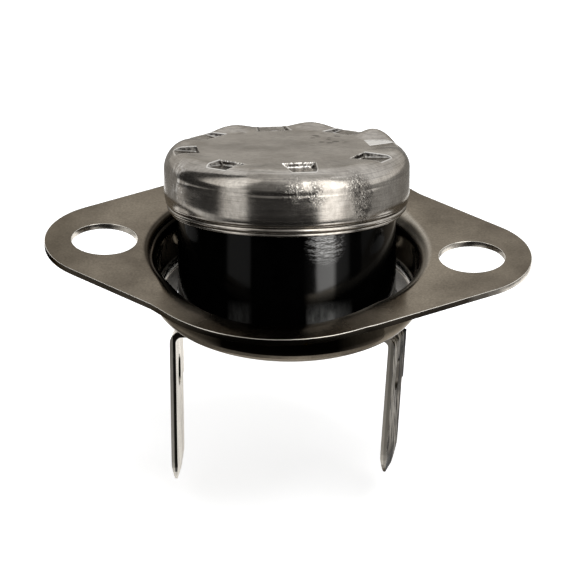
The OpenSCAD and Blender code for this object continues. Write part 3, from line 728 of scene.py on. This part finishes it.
# outline radius at a polar angle: the ear's tip, its tangent side or the round middle, whichever the ray meets,
# and a little more at the noses
def brimReach(p, a):
    b = np.abs(np.mod(np.asarray(a) + math.pi / 2, math.pi) - math.pi / 2)
    t = math.acos((p["middleR"] - p["earR"]) / p["earX"])
    tip = math.atan2(p["earR"] * math.sin(t), p["earX"] + p["earR"] * math.cos(t))
    ear = p["earX"] * np.cos(b) + np.sqrt(np.maximum(p["earR"] ** 2 - (p["earX"] * np.sin(b)) ** 2, 0))
    side = p["middleR"] / np.cos(b - t)
    plain = np.where(b < tip, ear, np.where(b < t, side, p["middleR"]))
    return plain + p["nose"] * noseShare(p, a, p["noseSpan"], 1.2)


# sheet of the flange: the dish is a bent profile carried round, the brim is spread from the dish to the
# outline, and each ear is a ring of rays from its screw hole out to what surrounds it
def flangeSheet(p):
    ea = math.radians(p["earAngle"])
    inEar, inSide, across, inRing = 120, 126, 14, 12
    aEar = np.linspace(-ea, ea, inEar + 1)
    aSide = np.linspace(ea, math.pi - ea, inSide + 1)
    around = np.concatenate([aEar[:-1], aSide[:-1], aEar[:-1] + math.pi, aSide[:-1] + math.pi])
    c = p["wallR"] - p["floorBend"]
    bottom = arc(c, -p["depth"] + p["floorBend"], p["floorBend"], -90, 0, 16)
    m = mouthBend(p, around)[:, None]
    hole = floorHole(p, around)[:, None]
    inwards = np.linspace(0, 1, 4, endpoint=False)[None]
    up = np.linspace(0, 1, 10, endpoint=False)[None, 1:]
    bend = np.radians(np.linspace(180, 90, 24))[None]
    ones = np.ones_like(m)
    r = np.concatenate([hole * (1 - inwards) + c * inwards, bottom[None, :, 0] * ones, p["wallR"] + 0 * up * m,
                        p["wallR"] + m * (1 + np.cos(bend))], 1)
    z = np.concatenate([-p["depth"] + 0 * inwards * m, bottom[None, :, 1] * ones, bottom[-1, 1] * (1 - up) - m * up,
                        m * (np.sin(bend) - 1)], 1)
    dish = np.stack([r * np.cos(around)[:, None], r * np.sin(around)[:, None], z], -1)
    flat = lambda a, r: np.stack([r * np.cos(a), r * np.sin(a), 0 * a], -1)
    brim = lambda a: flat(a, p["wallR"] + mouthBend(p, a))
    patches = [(dish, True)]
    for turn in (0, math.pi):
        a, e = aSide + turn, aEar + turn
        patches.append((between(brim(a), flat(a, brimReach(p, a)), across), False))
        outer, inner = flat(e, brimReach(p, e)), brim(e)
        rim = np.concatenate([outer[:-1], between(outer[-1:], inner[-1:], across)[0, :-1], inner[::-1][:-1],
                              between(inner[:1], outer[:1], across)[0, :-1]])
        screw = np.array([p["holeX"] * math.cos(turn), 0, 0])
        ray = rim - screw
        ring = screw + p["holeR"] * ray / np.linalg.norm(ray, axis=1)[:, None]
        patches.append((between(ring, rim, inRing), True))
    return patches


flange = patchMesh("flangeSheet", flangeSheet(flangeSet))
for finish in (flangeMetal, flangeEdge, flangeRim):
    flange.data.materials.append(finish)
thick = flange.modifiers.new("thick", "SOLIDIFY")
thick.thickness, thick.offset, thick.material_offset_rim = flangeSet["sheet"] * mm, -1.0, 2
softEdges(flange, flangeSet["edge"], 50).material = 1
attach(flange, "flange")
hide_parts("mounting_flange")
print("flange done")

# table-top studio: white floor and backdrop, and cards that only show as reflections; lengths in metres
studioSet = dict(floorDrop=0.0169, floorSize=6.0, floorGlow=0.6, worldLight=0.6)
lampSet = dict(where=(0.12, -0.12, 0.55), aim=(0, 0, 0), width=0.4, height=0.4, watts=2.2)


# 1 for rays from the camera, from a mirror or through glass, else 0: the largest of the three
def seenDirectly(tree):
    ray = tree.nodes.new("ShaderNodeLightPath").outputs
    seen = maths(tree, "MAXIMUM", ray["Is Camera Ray"], ray["Is Glossy Ray"])
    return maths(tree, "MAXIMUM", seen, ray["Is Transmission Ray"])


# white floor: it glows for the camera and in reflections, and its own colour keeps the shadow
def whiteFloor(p):
    m, t, b = newMaterial("whiteFloor")
    b.inputs["Base Color"].default_value = (0.85, 0.85, 0.85, 1)
    b.inputs["Roughness"].default_value = 0.9
    b.inputs["Specular IOR Level"].default_value = 0.0
    b.inputs["Emission Color"].default_value = (1, 1, 1, 1)
    t.links.new(maths(t, "MULTIPLY", seenDirectly(t), p["floorGlow"]), b.inputs["Emission Strength"])
    return m


corners = np.array([[[x, y, 0] for y in (-1, 1)] for x in (-1, 1)], float) * studioSet["floorSize"] / 2
floor = gridMesh("floor", corners - np.array([0, 0, studioSet["floorDrop"]]), flip=True)
floor.data.materials.append(whiteFloor(studioSet))


# glow of the cards: the tone stored at their points
def cardGlow():
    m, t, b = newMaterial("cardGlow")
    t.nodes.remove(b)
    e = add(t, "ShaderNodeEmission", Strength=1.0)
    t.links.new(add(t, "ShaderNodeAttribute", attribute_name="tone").outputs["Color"], e.inputs["Color"])
    t.links.new(e.outputs[0], t.nodes["Material Output"].inputs["Surface"])
    return m


# card seen only in reflections: the line between two points (radius, height) carried round the object; its
# tone runs straight from bearing to bearing, where bearing 0 is the camera's side and grows to the right
def card(name, bearings, tones, start, end, glow):
    deg = np.unique(np.concatenate([np.linspace(bearings[0], bearings[-1], 60), bearings]))
    a = np.radians(deg)[:, None]
    r, z = (np.array([start[k], end[k]], float)[None] for k in (0, 1))
    o = gridMesh(name, np.stack(np.broadcast_arrays(r * np.sin(a), -r * np.cos(a), z), -1) * mm)
    warm, opaque = np.array([1, 0.985, 0.96, 0]), np.array([0, 0, 0, 1])
    tone = np.repeat(np.interp(deg, bearings, tones), 2)[:, None] * warm + opaque
    o.data.color_attributes.new("tone", "FLOAT_COLOR", "POINT").data.foreach_set("color", tone.ravel())
    o.data.materials.append(glow)
    o.visible_camera = o.visible_diffuse = o.visible_shadow = o.visible_transmission = False


# name, bearings, tones, and the two ends (radius, height) in millimetres
cardSet = [("lowCurtain", (-112, 84), (0.04, 0.04), (70, -16.8), (70, 18)),
           ("highCurtain", (-112, -62, -45, 30, 84), (0.06, 0.06, 0.25, 0.25, 0.4), (70, 18), (70, 140)),
           ("nearTable", (-112, -15, 15, 84), (0.35, 0.35, 0.9, 0.9), (10, -16.85), (20, -16.85)),
           ("frontTable", (-112, -80, -45, 42, 84), (0.9, 0.8, 0.012, 0.012, 0.7), (20, -16.85), (70, -16.85)),
           ("canopy", (0, 360), (0.6, 0.6), (0.1, 141), (72, 141)),
           ("rightLow", (32, 35, 53, 56, 66, 70), (0.04, 2.2, 2.1, 1.1, 0.9, 0.04), (62, -16), (62, 16)),
           ("rightHigh", (17, 28, 62, 72), (0.25, 3.3, 3.0, 0.4), (62, 16), (62, 130)),
           ("leftLow", (-58, -54, -33, -30), (0.04, 0.85, 0.95, 0.04), (62, -16), (62, 16)),
           ("leftHigh", (-88, -76, -44, -34), (0.1, 1.3, 1.5, 0.2), (62, 16), (62, 130)),
           ("greyBack", (84, 135, 150, 248), (1.2, 1.1, 0.82, 0.82), (200, -16.8), (200, 40)),
           ("backTable", (84, 248), (0.4, 0.4), (45, -16.85), (200, -16.85))]
glow = cardGlow()
for c in cardSet:
    card(*c, glow)
print("cards done:", len(cardSet))


# rectangular lamp aimed at a point: its axes are the aim, the level side and their cross product
def areaLamp(name, where, aim, width, height, watts):
    d = bpy.data.lights.new(name, "AREA")
    d.shape = "RECTANGLE"
    d.size, d.size_y, d.energy = width, height, watts
    o = bpy.data.objects.new(name, d)
    scene.collection.objects.link(o)
    f = np.array(aim, float) - np.array(where, float)
    f /= np.linalg.norm(f)
    s = np.cross(f, [0, 0, 1.0])
    s /= np.linalg.norm(s)
    m = np.eye(4)
    m[:3, 0], m[:3, 1], m[:3, 2], m[:3, 3] = s, np.cross(s, f), -f, where
    o.matrix_world = Matrix(m.tolist())


areaLamp("topLamp", **lampSet)

# white world: full strength where it is seen directly, less as a light
world = bpy.data.worlds.new("studio")
scene.world = world
world.use_nodes = True
wt = world.node_tree
strength = add(wt, "ShaderNodeMapRange", To_Min=studioSet["worldLight"], To_Max=1.0)
wt.links.new(seenDirectly(wt), strength.inputs["Value"])
wt.links.new(strength.outputs["Result"], wt.nodes["Background"].inputs["Strength"])
wt.nodes["Background"].inputs["Color"].default_value = (1, 1, 1, 1)
print("studio done")

# camera at the photo's angle: elevation, turn and roll in degrees, the middle and the focal length in pixels,
# distance and clip in metres, the sensor in millimetres
viewSet = dict(elevation=28.4, turn=-3.96, roll=0.91, u=287.8, v=247.9, distance=0.3905, focal=6000.0, image=576.0,
               sensor=36.0, clip=(0.01, 50.0))


# view axes from the angles: the level view is tipped by the elevation, turned and rolled
def cameraFrame(p):
    e, y, r = (math.radians(p[k]) for k in ("elevation", "turn", "roll"))
    turn = lambda a: np.array([[math.cos(a), -math.sin(a), 0], [math.sin(a), math.cos(a), 0], [0, 0, 1]])
    tip = np.array([[1, 0, 0], [0, -math.sin(e), -math.cos(e)], [0, math.cos(e), -math.sin(e)]])
    rot = turn(r) @ tip @ turn(y)
    d, f, c = p["distance"], p["focal"], p["image"] / 2
    t = np.array([(p["u"] - c) / f * d, (p["v"] - c) / f * d, d])
    m = np.eye(4)
    m[:3, 0], m[:3, 1], m[:3, 2], m[:3, 3] = rot[0], -rot[1], -rot[2], -rot.T @ t
    return m


lens = bpy.data.cameras.new("photoLens")
lens.sensor_width = viewSet["sensor"]
lens.sensor_fit = "HORIZONTAL"
lens.lens = viewSet["focal"] / viewSet["image"] * lens.sensor_width
lens.clip_start, lens.clip_end = viewSet["clip"]
photoCamera = bpy.data.objects.new("photoCamera", lens)
scene.collection.objects.link(photoCamera)
photoCamera.matrix_world = Matrix(cameraFrame(viewSet).tolist())
scene.camera = photoCamera
scene.view_settings.view_transform = "Standard"

print("scene done")
